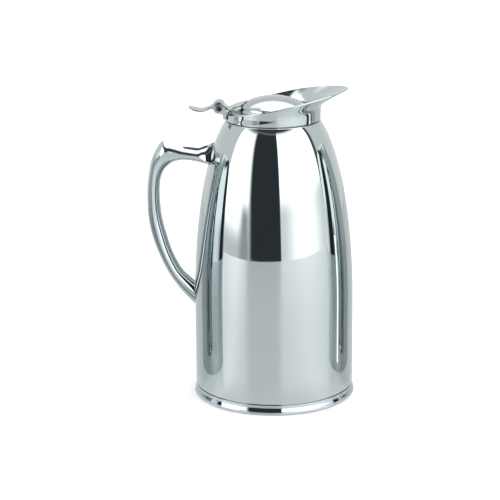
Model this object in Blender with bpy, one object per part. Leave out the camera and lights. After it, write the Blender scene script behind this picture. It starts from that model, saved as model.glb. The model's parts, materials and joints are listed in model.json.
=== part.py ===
"""Double-wall insulated jug with a spout collar, a cast handle and a hinged lid.

Frame: metres, +Z up, +X towards the spout, handle at -X. The origin is on the jug's axis, in the
plane that the jug stands on. Every round piece is turned about the jug's axis.
"""
import math

import bmesh
import bpy
from mathutils import Matrix, Vector

# ---------------------------------------------------------------- driving dimensions (metres)
GAP = 0.0003                  # kept between pieces that touch
SEGMENTS = 40                 # round the jug, the same on every turned piece

FOOT_R = 0.0625               # widest radius of the foot band
FOOT_H = 0.0082
FOOT_INNER_R = 0.0576
UPSTAND_TOP = 0.0140          # foot ring's upstand inside the shell

BODY_R = 0.0614               # straight lower body
TAPER_Z = 0.0737              # height where the taper starts
TAPER_CORE_R = 0.0235         # centre of the taper's quarter ellipse
TAPER_DEPTH = 0.0379          # its radial half axis
TAPER_HEIGHT = 0.1503         # its vertical half axis
NECK_Z = 0.2159               # top edge of the shell
SHELL_WALL = 0.0009

FLASK_BOTTOM_Z = 0.0235
FLASK_CORE_R = 0.0212
FLASK_DEPTH = 0.0325
FLASK_HEIGHT = 0.1480
FLASK_NECK_R = 0.0325
FLASK_NECK_Z = 0.2125
FLASK_TOP_Z = 0.2187
FLASK_WALL = 0.0008
FLASK_CORNER_R = 0.0100

COLLAR_Z = NECK_Z + 0.0005    # bottom face, above the neck groove
COLLAR_R = 0.0361
COLLAR_BACK_R = 0.0353        # rim radius behind the lid
COLLAR_SIDE_R = 0.0363        # rim radius at the sides
COLLAR_WALL = 0.0011
SPOUT_R = 0.0568              # reach of the lip's tip
SPOUT_ANGLE = math.radians(86.0)      # half angle over which the rim flares out
SPOUT_TIP_ROUND = math.radians(5.0)
SPOUT_POWER = 1.6
RIM_Z = 0.2291                # rim height above the jug's axis
RIM_SLOPE = 0.207             # rise of the rim towards the spout
RIM_SAG = 0.4                 # 1/m, curve of the rise

HINGE_X = -0.0407
HINGE_Z = 0.2262
PIN_R = 0.0015
PIN_HOLE_R = 0.00165
PIN_HEAD_R = 0.0027
KNUCKLE_R = 0.0050
KNUCKLE_HALF = 0.0059
EAR_IN = 0.0062               # inner face of each ear
EAR_OUT = 0.0082
EAR_EYE_R = 0.0030

LID_R = 0.0333
LID_FLANGE_Z = 0.2237
LID_DOME_R = 0.0248
LID_DOME_Z = 0.2262
LID_APEX_Z = 0.2342
LID_WALL = 0.0010
LID_EDGE_Z = 0.2218
LINER_R = 0.0299
LINER_BOTTOM_Z = 0.2157
GASKET_R = 0.0331

HANDLE_HALF_WIDTH = 0.0082

STEEL = (0.62, 0.64, 0.65)
BRUSHED = (0.50, 0.51, 0.52)
COPPER = (0.62, 0.33, 0.22)
SILICONE = (0.78, 0.78, 0.76)


# ---------------------------------------------------------------- general helpers
def clear_scene():
    for obj in list(bpy.data.objects):
        bpy.data.objects.remove(obj, do_unlink=True)


def make_material(name, color, roughness, metallic):
    material = bpy.data.materials.new(name)
    material.use_nodes = True
    shader = material.node_tree.nodes["Principled BSDF"]
    shader.inputs["Base Color"].default_value = (*color, 1.0)
    shader.inputs["Roughness"].default_value = roughness
    shader.inputs["Metallic"].default_value = metallic
    material.diffuse_color = (*color, 1.0)
    return material


def make_object(name, vertices, faces, material=None):
    mesh = bpy.data.meshes.new(name)
    mesh.from_pydata([tuple(v) for v in vertices], [], faces)
    work = bmesh.new()
    work.from_mesh(mesh)
    bmesh.ops.recalc_face_normals(work, faces=work.faces[:])
    work.to_mesh(mesh)
    work.free()
    obj = bpy.data.objects.new(name, mesh)
    bpy.context.scene.collection.objects.link(obj)
    if material:
        mesh.materials.append(material)
        mesh.shade_smooth()
        mesh.set_sharp_from_angle(angle=math.radians(35.0))
    return obj


def ring_mesh(rows, columns, close_rows=True):
    """Faces of a grid of rows x columns points that wraps round in its columns and its rows."""
    faces = []
    last = rows if close_rows else rows - 1
    for i in range(last):
        for j in range(columns):
            k = (j + 1) % columns
            n = (i + 1) % rows
            faces.append((i * columns + j, i * columns + k, n * columns + k, n * columns + j))
    return faces


def turned(name, profile, material=None, segments=SEGMENTS, x=0.0):
    """Solid turned about a vertical axis through x.

    The profile is a closed loop of (radius, z). A point of radius 0 becomes one pole.
    """
    vertices, rows = [], []
    for radius, z in profile:
        if radius < 1e-7:
            rows.append([len(vertices)] * segments)
            vertices.append((x, 0.0, z))
            continue
        start = len(vertices)
        rows.append(list(range(start, start + segments)))
        for j in range(segments):
            a = 2.0 * math.pi * j / segments
            vertices.append((x + radius * math.cos(a), radius * math.sin(a), z))
    faces = []
    for row, following in zip(rows, rows[1:] + rows[:1]):
        for j in range(segments):
            k = (j + 1) % segments
            corners = [row[j], row[k], following[k], following[j]]
            corners = list(dict.fromkeys(corners))
            if len(corners) > 2:
                faces.append(corners)
    return make_object(name, vertices, faces, material)


def prism(name, outline, low, high, axis, material=None):
    """Solid made by extruding a closed 2-D outline along Y (outline in X, Z) or Z (in X, Y)."""
    def place(u, v, w):
        return (u, w, v) if axis == "Y" else (u, v, w)

    count = len(outline)
    vertices = [place(u, v, w) for w in (low, high) for u, v in outline]
    faces = [tuple(range(count)), tuple(range(2 * count - 1, count - 1, -1))]
    for i in range(count):
        j = (i + 1) % count
        faces.append((i, j, count + j, count + i))
    return make_object(name, vertices, faces, material)


def arc(cx, cz, radius, start, end, steps):
    """Points on a circle from angle start to angle end, in degrees, both included."""
    points = []
    for i in range(steps + 1):
        a = math.radians(start + (end - start) * i / steps)
        points.append((cx + radius * math.cos(a), cz + radius * math.sin(a)))
    return points


def combine(obj, other, operation):
    """Apply a Boolean of another solid to obj and remove that solid."""
    other.hide_render = True
    other.display_type = 'WIRE'
    modifier = obj.modifiers.new(operation.title(), 'BOOLEAN')
    modifier.operation = operation
    modifier.solver = 'EXACT'
    modifier.object = other
    graph = bpy.context.evaluated_depsgraph_get()
    result = bpy.data.meshes.new_from_object(obj.evaluated_get(graph))
    obj.modifiers.remove(modifier)
    old = obj.data
    obj.data = result
    bpy.data.meshes.remove(old)
    bpy.data.objects.remove(other, do_unlink=True)


def smooth_curve(knots, t):
    """Point on a Catmull-Rom curve through knots, t from 0 to len(knots) - 1."""
    last = len(knots) - 1
    i = min(int(t), last - 1)
    f = t - i
    around = [knots[min(max(i + k, 0), last)] for k in (-1, 0, 1, 2)]
    weights = (0.5 * (-f + 2 * f**2 - f**3),
               0.5 * (2 - 5 * f**2 + 3 * f**3),
               0.5 * (f + 4 * f**2 - 3 * f**3),
               0.5 * (-f**2 + f**3))
    return tuple(sum(w * p[k] for w, p in zip(weights, around)) for k in range(len(knots[0])))


# ---------------------------------------------------------------- body profiles
def ellipse_radius(z, core, depth, height):
    rise = min(max((z - TAPER_Z) / height, 0.0), 1.0)
    return core + depth * math.sqrt(1.0 - rise * rise)


def shell_radius(z):
    return ellipse_radius(z, TAPER_CORE_R, TAPER_DEPTH, TAPER_HEIGHT)


def flask_radius(z):
    return max(FLASK_NECK_R, ellipse_radius(z, FLASK_CORE_R, FLASK_DEPTH, FLASK_HEIGHT))


def offset_profile(points, distance):
    """Open profile moved sideways by distance, to the left of its direction of travel."""
    moved = []
    for i, (r, z) in enumerate(points):
        r0, z0 = points[max(i - 1, 0)]
        r1, z1 = points[min(i + 1, len(points) - 1)]
        length = math.hypot(r1 - r0, z1 - z0)
        moved.append((r - distance * (z1 - z0) / length, z + distance * (r1 - r0) / length))
    return moved


def shell_outline(low, high, grow=0.0):
    """Outer profile of the shell from low to high, moved out by grow."""
    heights = [low, TAPER_Z] if low < TAPER_Z else [low]
    steps = 9
    for i in range(1, steps + 1):
        turn = 0.5 * math.pi * i / steps
        z = TAPER_Z + (high - TAPER_Z) * math.sin(turn)
        if z > heights[-1]:
            heights.append(z)
    outer = [(shell_radius(z), z) for z in heights]
    return offset_profile(outer, -grow) if grow else outer


def make_outer_shell(material):
    outer = shell_outline(FOOT_H + GAP, NECK_Z)
    inner = offset_profile(outer, SHELL_WALL)
    inner[0] = (inner[0][0], outer[0][1])
    inner[-1] = (inner[-1][0], NECK_Z)
    return turned("outer_shell", outer + inner[::-1], material)


def make_foot_ring(material):
    upstand_r = BODY_R - SHELL_WALL - 0.0004
    upstand_wall = 0.0012
    profile = [(0.0617, 0.0), (0.0622, 0.0009), (FOOT_R, 0.0028), (FOOT_R, 0.0050), (0.0621, 0.0070),
               (0.0613, FOOT_H), (upstand_r, FOOT_H), (upstand_r, UPSTAND_TOP),
               (upstand_r - upstand_wall, UPSTAND_TOP), (upstand_r - upstand_wall, 0.0050),
               (FOOT_INNER_R, 0.0030), (FOOT_INNER_R, 0.0)]
    return turned("foot_ring", profile, material)


def make_base_cover(material):
    radius = FOOT_INNER_R - GAP
    thickness = 0.0010
    profile = [(0.0, 0.0), (radius, 0.0), (radius, thickness), (0.0, thickness)]
    return turned("base_cover", profile, material)


def make_outer_bottom(material):
    rim_r = BODY_R - SHELL_WALL - 0.0004
    hole_r = 0.0028
    wall = 0.0009
    low = UPSTAND_TOP + 0.0005
    under = [(hole_r, low + 0.0020), (0.030, low + 0.0014), (0.050, low + 0.0004), (rim_r, low)]
    over = [(rim_r, low + 0.0050), (rim_r - wall, low + 0.0050), (rim_r - wall, low + wall),
            (0.050, low + 0.0004 + wall), (0.030, low + 0.0014 + wall), (hole_r, low + 0.0020 + wall)]
    return turned("outer_bottom", under + over, material)


def make_pinch_off_tube(material):
    """Copper tube through the outer bottom, squeezed flat and shut at its lower end."""
    tube_r = 0.0025
    pinch_half = 0.0009
    heights = (0.0060, 0.0078, 0.0105, 0.0200)
    flatness = (pinch_half / tube_r, pinch_half / tube_r, 1.0, 1.0)
    count = 16
    vertices = []
    for z, flat in zip(heights, flatness):
        for j in range(count):
            a = 2.0 * math.pi * j / count
            vertices.append((tube_r * math.cos(a), tube_r * flat * math.sin(a), z))
    faces = ring_mesh(len(heights), count, close_rows=False)
    faces.append(tuple(range(count)))
    faces.append(tuple(range(len(vertices) - count, len(vertices))))
    return make_object("pinch_off_tube", vertices, faces, material)


def make_getter_can(material):
    top = FLASK_BOTTOM_Z - GAP
    profile = [(0.0, top - 0.0032), (0.0046, top - 0.0032), (0.0050, top - 0.0026), (0.0050, top), (0.0, top)]
    return turned("getter_can", profile, material, segments=20, x=0.020)


def make_inner_flask(material):
    body_r = flask_radius(0.0)
    corner = arc(body_r - FLASK_CORNER_R, FLASK_BOTTOM_Z + FLASK_CORNER_R, FLASK_CORNER_R, -90, 0, 3)
    heights = [TAPER_Z + (FLASK_NECK_Z - TAPER_Z) * math.sin(0.5 * math.pi * i / 7) for i in range(8)]
    outer = corner + [(flask_radius(z), z) for z in heights]
    lip_r = FLASK_NECK_R + 0.0012
    lip_z = FLASK_TOP_Z - FLASK_WALL
    inner = offset_profile(outer, FLASK_WALL)
    inner[0] = (corner[0][0], FLASK_BOTTOM_Z + FLASK_WALL)
    inner[-1] = (FLASK_NECK_R - FLASK_WALL, FLASK_NECK_Z)
    profile = [(0.0, FLASK_BOTTOM_Z)] + outer
    profile += [(FLASK_NECK_R, lip_z), (lip_r, lip_z), (lip_r, FLASK_TOP_Z),
                (FLASK_NECK_R - FLASK_WALL, FLASK_TOP_Z)]
    profile += inner[::-1] + [(0.0, FLASK_BOTTOM_Z + FLASK_WALL)]
    return turned("inner_flask", profile, material)


def make_neck_ring(material):
    inner_r = FLASK_NECK_R + GAP
    outer_r = 0.0347
    low, high = NECK_Z - 0.0030, NECK_Z - GAP
    profile = [(inner_r, low), (outer_r, low), (outer_r, high), (inner_r, high)]
    return turned("neck_ring", profile, material)


# ---------------------------------------------------------------- spout collar
def rim_point(angle):
    """Radius and height of the collar's rim at an angle from the spout, and its radius without the lip."""
    angle = abs(math.atan2(math.sin(angle), math.cos(angle)))
    reach = (math.hypot(angle, SPOUT_TIP_ROUND) - SPOUT_TIP_ROUND) / SPOUT_ANGLE
    flare = max(0.0, 1.0 - reach) ** SPOUT_POWER
    behind = 0.5 - 0.5 * math.cos(max(0.0, 2.0 * angle - math.pi))
    plain = COLLAR_SIDE_R + (COLLAR_BACK_R - COLLAR_SIDE_R) * behind
    radius = plain + (SPOUT_R - plain) * flare
    x = radius * math.cos(angle)
    return radius, RIM_Z + RIM_SLOPE * x - RIM_SAG * x * x, plain


def lip_curve(s):
    """Share of the flare reached at height share s on the spout: upright below, then a sloping lip."""
    bend, softness = 0.56, 0.06

    def ramp(value):
        return softness * math.log1p(math.exp((value - bend) / softness))
    return ramp(s) / ramp(1.0)


def collar_point(angle, s):
    """Outer face of the collar, s from 0 at its bottom to 1 at the rim."""
    rim_r, rim_z, plain = rim_point(angle)
    radius = COLLAR_R + (plain - COLLAR_R) * s + (rim_r - plain) * lip_curve(s)
    return Vector((radius * math.cos(angle), radius * math.sin(angle), COLLAR_Z + (rim_z - COLLAR_Z) * s))


def collar_normal(angle, s):
    step = 1e-3
    along = collar_point(angle + step, s) - collar_point(angle - step, s)
    up = collar_point(angle, min(s + step, 1.0)) - collar_point(angle, max(s - step, 0.0))
    return along.cross(up).normalized()


def make_spout_collar(material):
    shares = (0.0, 0.25, 0.45, 0.58, 0.68, 0.80, 1.0)
    flange_in = FLASK_NECK_R + GAP
    flange_top = COLLAR_Z + COLLAR_WALL
    vertices = []
    angles = [2.0 * math.pi * j / SEGMENTS for j in range(SEGMENTS)]
    for s in shares:
        vertices += [collar_point(a, s) for a in angles]
    for s in shares[:0:-1]:
        vertices += [collar_point(a, s) - COLLAR_WALL * collar_normal(a, s) for a in angles]
    for radius, z in ((COLLAR_R - COLLAR_WALL, flange_top), (flange_in, flange_top), (flange_in, COLLAR_Z)):
        vertices += [(radius * math.cos(a), radius * math.sin(a), z) for a in angles]
    faces = ring_mesh(len(vertices) // SEGMENTS, SEGMENTS)
    return make_object("spout_collar", vertices, faces, material)


# ---------------------------------------------------------------- handle
# Ridge, crease and inner lines of the handle in its symmetry plane, from inside the upper joint,
# round the horn and down to inside the lower joint: (ridge x, z, inner x, z, crease share, width share).
# The crease is the widest place; its share is measured from the ridge towards the inner line.
HANDLE_STATIONS = [
    (-0.0366, 0.2028, -0.0436, 0.1778, 0.58, 1.15),
    (-0.0445, 0.1991, -0.0480, 0.1810, 0.56, 1.08),
    (-0.0510, 0.1963, -0.0520, 0.1822, 0.56, 1.00),
    (-0.0564, 0.1957, -0.0569, 0.1834, 0.56, 0.96),
    (-0.0638, 0.1965, -0.0634, 0.1847, 0.56, 0.94),
    (-0.0707, 0.1977, -0.0693, 0.1851, 0.54, 0.94),
    (-0.0776, 0.1994, -0.0749, 0.1840, 0.50, 0.95),
    (-0.0843, 0.1999, -0.0788, 0.1820, 0.42, 0.96),
    (-0.0897, 0.1930, -0.0826, 0.1785, 0.38, 0.97),
    (-0.0936, 0.1840, -0.0851, 0.1739, 0.36, 0.97),
    (-0.0957, 0.1732, -0.0865, 0.1683, 0.38, 0.96),
    (-0.0969, 0.1596, -0.0871, 0.1582, 0.40, 0.95),
    (-0.0967, 0.1429, -0.0861, 0.1429, 0.40, 0.94),
    (-0.0944, 0.1276, -0.0828, 0.1279, 0.40, 0.93),
    (-0.0895, 0.1123, -0.0779, 0.1123, 0.40, 0.92),
    (-0.0822, 0.0962, -0.0714, 0.0994, 0.40, 0.92),
    (-0.0732, 0.0828, -0.0653, 0.0927, 0.40, 0.92),
    (-0.0607, 0.0689, -0.0599, 0.0882, 0.42, 0.94),
    (-0.0538, 0.0627, -0.0548, 0.0854, 0.42, 0.96),
]


def handle_section(station):
    """Closed section: a tent-shaped outer side, a crease at the widest place, a round inner side."""
    ridge = Vector((station[0], 0.0, station[1]))
    inner = Vector((station[2], 0.0, station[3]))
    crease_share, width_share = station[4:]
    crease = ridge.lerp(inner, crease_share)
    half = HANDLE_HALF_WIDTH * width_share
    side = Vector((0.0, 1.0, 0.0))
    points = [ridge + side * half * 0.12]
    points.append(ridge.lerp(crease, 0.32) + side * half * 0.62)
    for degrees in (0, 30, 60):
        a = math.radians(degrees)
        points.append(crease.lerp(inner, math.sin(a)) + side * half * math.cos(a))
    points.append(inner)
    mirrored = [Vector((p.x, -p.y, p.z)) for p in points[-2::-1]]
    return points + mirrored


def make_handle(material):
    steps = 2 * (len(HANDLE_STATIONS) - 1)
    sections = [handle_section(smooth_curve(HANDLE_STATIONS, i / 2)) for i in range(steps + 1)]
    count = len(sections[0])
    vertices = [p for section in sections for p in section]
    faces = ring_mesh(len(sections), count, close_rows=False)
    faces.append(tuple(range(count)))
    faces.append(tuple(range(len(vertices) - count, len(vertices))))
    handle = make_object("handle", vertices, faces, material)
    outer = shell_outline(FOOT_H, NECK_Z, grow=GAP)
    cutter = turned("handle_cutter", [(0.0, FOOT_H)] + outer + [(0.0, NECK_Z)])
    combine(handle, cutter, 'DIFFERENCE')
    handle.data.set_sharp_from_angle(angle=math.radians(35.0))
    return handle


# ---------------------------------------------------------------- hinge
def make_hinge_bracket(material):
    """Two ears round the pin and the saddle strip that carries them on the collar's back."""
    foot_x = HINGE_X + 0.0085
    eye = arc(HINGE_X, HINGE_Z, EAR_EYE_R, 60, 250, 9)
    outline = eye + [(foot_x, COLLAR_Z + 0.0008), (foot_x, HINGE_Z - 0.0034)]
    saddle_x = HINGE_X + 0.0030
    saddle_top = HINGE_Z - KNUCKLE_R - 0.0006
    saddle = [(saddle_x, COLLAR_Z + 0.0008), (foot_x, COLLAR_Z + 0.0008), (foot_x, saddle_top),
              (saddle_x, saddle_top)]
    bracket = prism("hinge_bracket", saddle, -EAR_IN - 0.0005, EAR_IN + 0.0005, "Y", material)
    for side in (-1, 1):
        low, high = sorted((side * EAR_IN, side * EAR_OUT))
        combine(bracket, prism("ear", outline, low, high, "Y"), 'UNION')
    hole = prism("pin_hole", arc(HINGE_X, HINGE_Z, PIN_HOLE_R, 0, 345, 23), -0.02, 0.02, "Y")
    combine(bracket, hole, 'DIFFERENCE')
    rim_z = rim_point(math.pi)[1]
    wall = [(0.0, NECK_Z - 0.001), (COLLAR_R + GAP, NECK_Z - 0.001), (COLLAR_R + GAP, COLLAR_Z),
            (COLLAR_BACK_R + GAP + 0.0002, rim_z + 0.004), (0.0, rim_z + 0.004)]
    combine(bracket, turned("collar_cutter", wall), 'DIFFERENCE')
    bracket.data.set_sharp_from_angle(angle=math.radians(35.0))
    return bracket


def make_hinge_pin(material):
    """Shaft along Y with a dimpled rivet head at each end. Its origin is on the joint's axis."""
    head_in = EAR_OUT + GAP
    head_out = head_in + 0.0010
    half = [(PIN_R, head_in), (PIN_HEAD_R, head_in), (PIN_HEAD_R, head_in + 0.0004),
            (PIN_HEAD_R - 0.0007, head_out), (0.0010, head_out), (0.0, head_out - 0.0005)]
    profile = [(r, -z) for r, z in half[::-1]] + half
    pin = turned("hinge_pin", profile, material, segments=24)
    pin.rotation_euler = (math.radians(90.0), 0.0, 0.0)
    pin.location = (HINGE_X, 0.0, HINGE_Z)
    return pin


# ---------------------------------------------------------------- lid
def lid_outline(grow=0.0):
    """Outer profile of the lid from its edge to its apex, moved out by grow."""
    points = [(LID_R, LID_EDGE_Z), (LID_R, LID_FLANGE_Z - 0.0010), (LID_R - 0.0009, LID_FLANGE_Z),
              (LID_DOME_R + 0.0028, LID_FLANGE_Z + 0.0002), (LID_DOME_R + 0.0010, LID_FLANGE_Z + 0.0008),
              (LID_DOME_R + 0.0002, LID_DOME_Z - 0.0006)]
    rise = LID_APEX_Z - LID_DOME_Z
    for i in range(5):
        r = LID_DOME_R * math.cos(0.5 * math.pi * i / 5)
        points.append((r, LID_DOME_Z + rise * (1.0 - (r / LID_DOME_R) ** 2) ** 0.75))
    points.append((0.0, LID_APEX_Z))
    if grow:
        points = [(max(r, 0.0), z) for r, z in offset_profile(points, -grow)]
        points[-1] = (0.0, LID_APEX_Z + grow)
    return points


def make_lid_top(material):
    outer = lid_outline()
    inner = [(max(r, 0.0), z) for r, z in lid_outline(grow=-LID_WALL)]
    inner[0] = (LID_R - LID_WALL, LID_EDGE_Z)
    inner[-1] = (0.0, LID_APEX_Z - LID_WALL)
    return turned("lid_top", outer + inner[::-1], material)


def make_lid_liner(material):
    wall = 0.0008
    flange_top = LID_EDGE_Z - GAP
    flange_low = flange_top - 0.0010
    foot_r = LINER_R - 0.0006
    profile = [(0.0, LINER_BOTTOM_Z), (foot_r - 0.0010, LINER_BOTTOM_Z), (foot_r, LINER_BOTTOM_Z + 0.0010),
               (LINER_R, flange_low), (LID_R - 0.0006, flange_low), (LID_R - 0.0006, flange_top),
               (LINER_R - wall, flange_top), (foot_r - wall, LINER_BOTTOM_Z + 0.0014),
               (foot_r - wall - 0.0008, LINER_BOTTOM_Z + wall), (0.0, LINER_BOTTOM_Z + wall)]
    return turned("lid_liner", profile, material)


def make_lid_gasket(material):
    low = FLASK_TOP_Z + GAP
    high = LID_EDGE_Z - GAP - 0.0010 - GAP
    inner_r = LINER_R + GAP
    profile = [(inner_r, low + 0.0004), (inner_r + 0.0006, low), (GASKET_R - 0.0008, low),
               (GASKET_R, low + 0.0008), (GASKET_R, high), (inner_r, high)]
    return turned("lid_gasket", profile, material)


def lever_side_outline():
    """Side view of the lever in X, Z: thumb plate, knuckle, and tongue down over the rim to the lid."""
    thickness = 0.0013
    plate = [(-0.0636, 0.2266), (-0.0601, 0.2253), (-0.0561, 0.2243), (-0.0526, 0.2245),
             (-0.0494, 0.2256), (-0.0462, 0.2271)]
    under = [(x, z - thickness) for x, z in plate]
    under[0] = (plate[0][0] + 0.0006, plate[0][1] - thickness * 0.8)
    hump = arc(HINGE_X, HINGE_Z, KNUCKLE_R, 150, 42, 6)
    belly = arc(HINGE_X, HINGE_Z, KNUCKLE_R, -28, -172, 8)
    tongue_top = [(-0.0353, 0.2278), (-0.0328, 0.2266), (-0.0298, 0.2268), (-0.0264, 0.2274),
                  (-0.0229, 0.2286), (-0.0204, 0.2296)]
    tongue_low = [(-0.0204, 0.2233), (-0.0353, 0.2233)]
    return plate + hump + tongue_top + tongue_low + belly + under[::-1]


def lever_plan_outline():
    """Plan view of the lever in X, Y: half widths along X, rounded at the thumb end and the leaf end."""
    halves = [(-0.0639, 0.0018), (-0.0632, 0.0038), (-0.0614, 0.0056), (-0.0580, 0.0065),
              (-0.0526, 0.0063), (-0.0486, 0.0056), (-0.0460, 0.0057), (-0.0454, KNUCKLE_HALF),
              (-0.0358, KNUCKLE_HALF), (-0.0333, 0.0064), (-0.0298, 0.0069), (-0.0259, 0.0064),
              (-0.0229, 0.0048), (-0.0212, 0.0028), (-0.0204, 0.0010)]
    return halves + [(x, -y) for x, y in halves[::-1]]


def make_lid_lever(material):
    half = 0.009
    lever = prism("lid_lever", lever_side_outline(), -half, half, "Y", material)
    plan = prism("plan", lever_plan_outline(), HINGE_Z - 0.02, HINGE_Z + 0.02, "Z")
    combine(lever, plan, 'INTERSECT')
    hole = prism("pin_hole", arc(HINGE_X, HINGE_Z, PIN_HOLE_R, 0, 345, 23), -0.02, 0.02, "Y")
    combine(lever, hole, 'DIFFERENCE')
    lid = lid_outline(grow=GAP)
    cutter = turned("lid_cutter", [(0.0, lid[0][1] - 0.002), (lid[0][0], lid[0][1] - 0.002)] + lid)
    combine(lever, cutter, 'DIFFERENCE')
    lever.data.set_sharp_from_angle(angle=math.radians(35.0))
    lever.data.transform(Matrix.Translation((-HINGE_X, 0.0, -HINGE_Z)))
    return lever


# ---------------------------------------------------------------- assembly
def main():
    clear_scene()
    shell_steel = make_material("polished_steel", STEEL, 0.05, 1.0)
    handle_steel = make_material("cast_steel", STEEL, 0.08, 1.0)
    lid_steel = make_material("lid_steel", STEEL, 0.05, 1.0)
    inner_steel = make_material("brushed_steel", BRUSHED, 0.30, 1.0)
    copper = make_material("copper", COPPER, 0.30, 1.0)
    silicone = make_material("silicone", SILICONE, 0.60, 0.0)

    make_outer_shell(shell_steel)
    make_foot_ring(shell_steel)
    make_spout_collar(shell_steel)
    make_base_cover(inner_steel)
    make_outer_bottom(inner_steel)
    make_inner_flask(inner_steel)
    make_neck_ring(inner_steel)
    make_getter_can(inner_steel)
    make_pinch_off_tube(copper)
    make_handle(handle_steel)
    make_hinge_bracket(handle_steel)
    make_hinge_pin(handle_steel)

    axis = bpy.data.objects.new("lid_axis", None)
    axis.location = (HINGE_X, 0.0, HINGE_Z)
    bpy.context.scene.collection.objects.link(axis)
    for piece in (make_lid_top(lid_steel), make_lid_liner(lid_steel), make_lid_gasket(silicone)):
        piece.parent = axis
        piece.location = (-HINGE_X, 0.0, -HINGE_Z)
    lever = make_lid_lever(handle_steel)
    lever.parent = axis
    bpy.context.view_layer.update()


main()
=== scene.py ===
"""Looks of the hinged-lid insulated jug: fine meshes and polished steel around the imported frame.

Frame: metres, +Z up, +X towards the spout, handle at -X, origin on the jug's axis at its base.
"""
import json
import math

import bmesh
import bpy
from mathutils import Matrix, Vector


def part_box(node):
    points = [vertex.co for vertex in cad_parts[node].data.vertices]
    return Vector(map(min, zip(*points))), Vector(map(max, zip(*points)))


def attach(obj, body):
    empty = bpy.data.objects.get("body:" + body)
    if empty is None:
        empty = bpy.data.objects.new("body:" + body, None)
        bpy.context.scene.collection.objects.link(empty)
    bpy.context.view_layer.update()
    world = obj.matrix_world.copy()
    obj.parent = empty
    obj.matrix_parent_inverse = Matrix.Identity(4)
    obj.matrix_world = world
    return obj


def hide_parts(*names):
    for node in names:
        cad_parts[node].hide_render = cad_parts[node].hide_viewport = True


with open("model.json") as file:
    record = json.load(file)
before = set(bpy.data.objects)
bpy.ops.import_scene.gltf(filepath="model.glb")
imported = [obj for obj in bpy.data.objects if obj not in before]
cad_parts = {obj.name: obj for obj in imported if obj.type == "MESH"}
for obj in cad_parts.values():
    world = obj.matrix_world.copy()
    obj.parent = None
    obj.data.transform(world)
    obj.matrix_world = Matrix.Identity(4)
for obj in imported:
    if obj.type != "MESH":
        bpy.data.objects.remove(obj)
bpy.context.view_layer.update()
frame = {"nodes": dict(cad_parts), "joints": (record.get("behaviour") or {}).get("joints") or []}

# ---------------------------------------------------------------- sizes read from the frame
SHELL_LOW, SHELL_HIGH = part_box("outer_shell")
FOOT_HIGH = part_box("foot_ring")[1]
FLASK_LOW, FLASK_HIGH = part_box("inner_flask")
COLLAR_LOW, COLLAR_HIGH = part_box("spout_collar")
LID_LOW, LID_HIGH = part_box("lid_top")
LINER_LOW, LINER_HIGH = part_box("lid_liner")
GASKET_LOW, GASKET_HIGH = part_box("lid_gasket")
COVER_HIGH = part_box("base_cover")[1]
PIN_LOW, PIN_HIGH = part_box("hinge_pin")
HINGE = Vector(frame["joints"][0]["pos_m"])

# ---------------------------------------------------------------- design sizes (metres)
GAP = 0.0003                      # kept between pieces that touch
SEGMENTS = 256

BODY_R = SHELL_HIGH.y             # straight lower body
NECK_Z = SHELL_HIGH.z
TAPER_Z = 0.0737                  # the taper is a quarter ellipse above this height
TAPER_CORE_R = 0.0235             # the radius at which the ellipse would close
TAPER_DEPTH = BODY_R - TAPER_CORE_R
TAPER_HEIGHT = 0.1503
SHELL_WALL = 0.0009

FLASK_CORE_R = 0.0212             # the flask tapers as the shell does
FLASK_R = FLASK_HIGH.y
FLASK_DEPTH = FLASK_R - FLASK_CORE_R
FLASK_HEIGHT = 0.1480
FLASK_NECK_R = 0.0325
FLASK_NECK_Z = 0.2125
FLASK_CORNER_R = 0.0100
FLASK_WALL = 0.0008

FOOT_TOP = 0.0079                 # the groove lies above the skirt
FOOT_WALL = 0.0012

COLLAR_Z = COLLAR_LOW.z
COLLAR_R = 0.0361
COLLAR_BACK_R = 0.0353
COLLAR_SIDE_R = COLLAR_HIGH.y
COLLAR_WALL = 0.0011
COLLAR_WAVE = 0.000062            # amplitude of one slight wave up the collar's wall
COLLAR_WAVE_START = 0.15          # share of a turn at which the wave starts
LIP_BEND, LIP_SOFTNESS = 0.56, 0.06   # height share where the lip starts, and how gently
RIM_STEPS = 8                     # steps round the rolled edge of the rim
SPOUT_R = COLLAR_HIGH.x
SPOUT_ANGLE = math.radians(86.0)
SPOUT_TIP_ROUND = math.radians(5.0)
SPOUT_POWER = 1.6
RIM_Z = 0.2291
RIM_SLOPE = 0.207
RIM_SAG = 0.4

LID_R = LID_HIGH.y
LID_WALL = 0.0010
LID_FLANGE_Z = 0.2237
LID_DOME_R = 0.0248
LID_DOME_Z = 0.2262

KNUCKLE_R = 0.0050
KNUCKLE_HALF = 0.0059
FLANK_LEAN = 0.07                 # the lever's sides draw in below its top edge
EAR_IN = 0.0062
EAR_OUT = 0.0082
EAR_EYE_R = 0.0030
EAR_DRAFT = 3.5                   # share by which the ears draw in per metre below their eyes
PIN_R = 0.0015
PIN_HOLE_R = 0.00165

HANDLE_HALF_WIDTH = 0.0082


# ---------------------------------------------------------------- mesh helpers
def shade(mesh, sharp):
    """Smooth shading between edges sharper than an angle in degrees."""
    mesh.shade_smooth()
    mesh.set_sharp_from_angle(angle=math.radians(sharp))


def paint(obj, material):
    """The object with this as its only material."""
    obj.data.materials.clear()
    obj.data.materials.append(material)
    return obj


def finish_mesh(name, bm, sharp=35.0):
    """Object from a bmesh, with outward faces."""
    bmesh.ops.recalc_face_normals(bm, faces=bm.faces[:])
    mesh = bpy.data.meshes.new(name)
    bm.to_mesh(mesh)
    bm.free()
    shade(mesh, sharp)
    obj = bpy.data.objects.new(name, mesh)
    bpy.context.scene.collection.objects.link(obj)
    return obj


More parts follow.
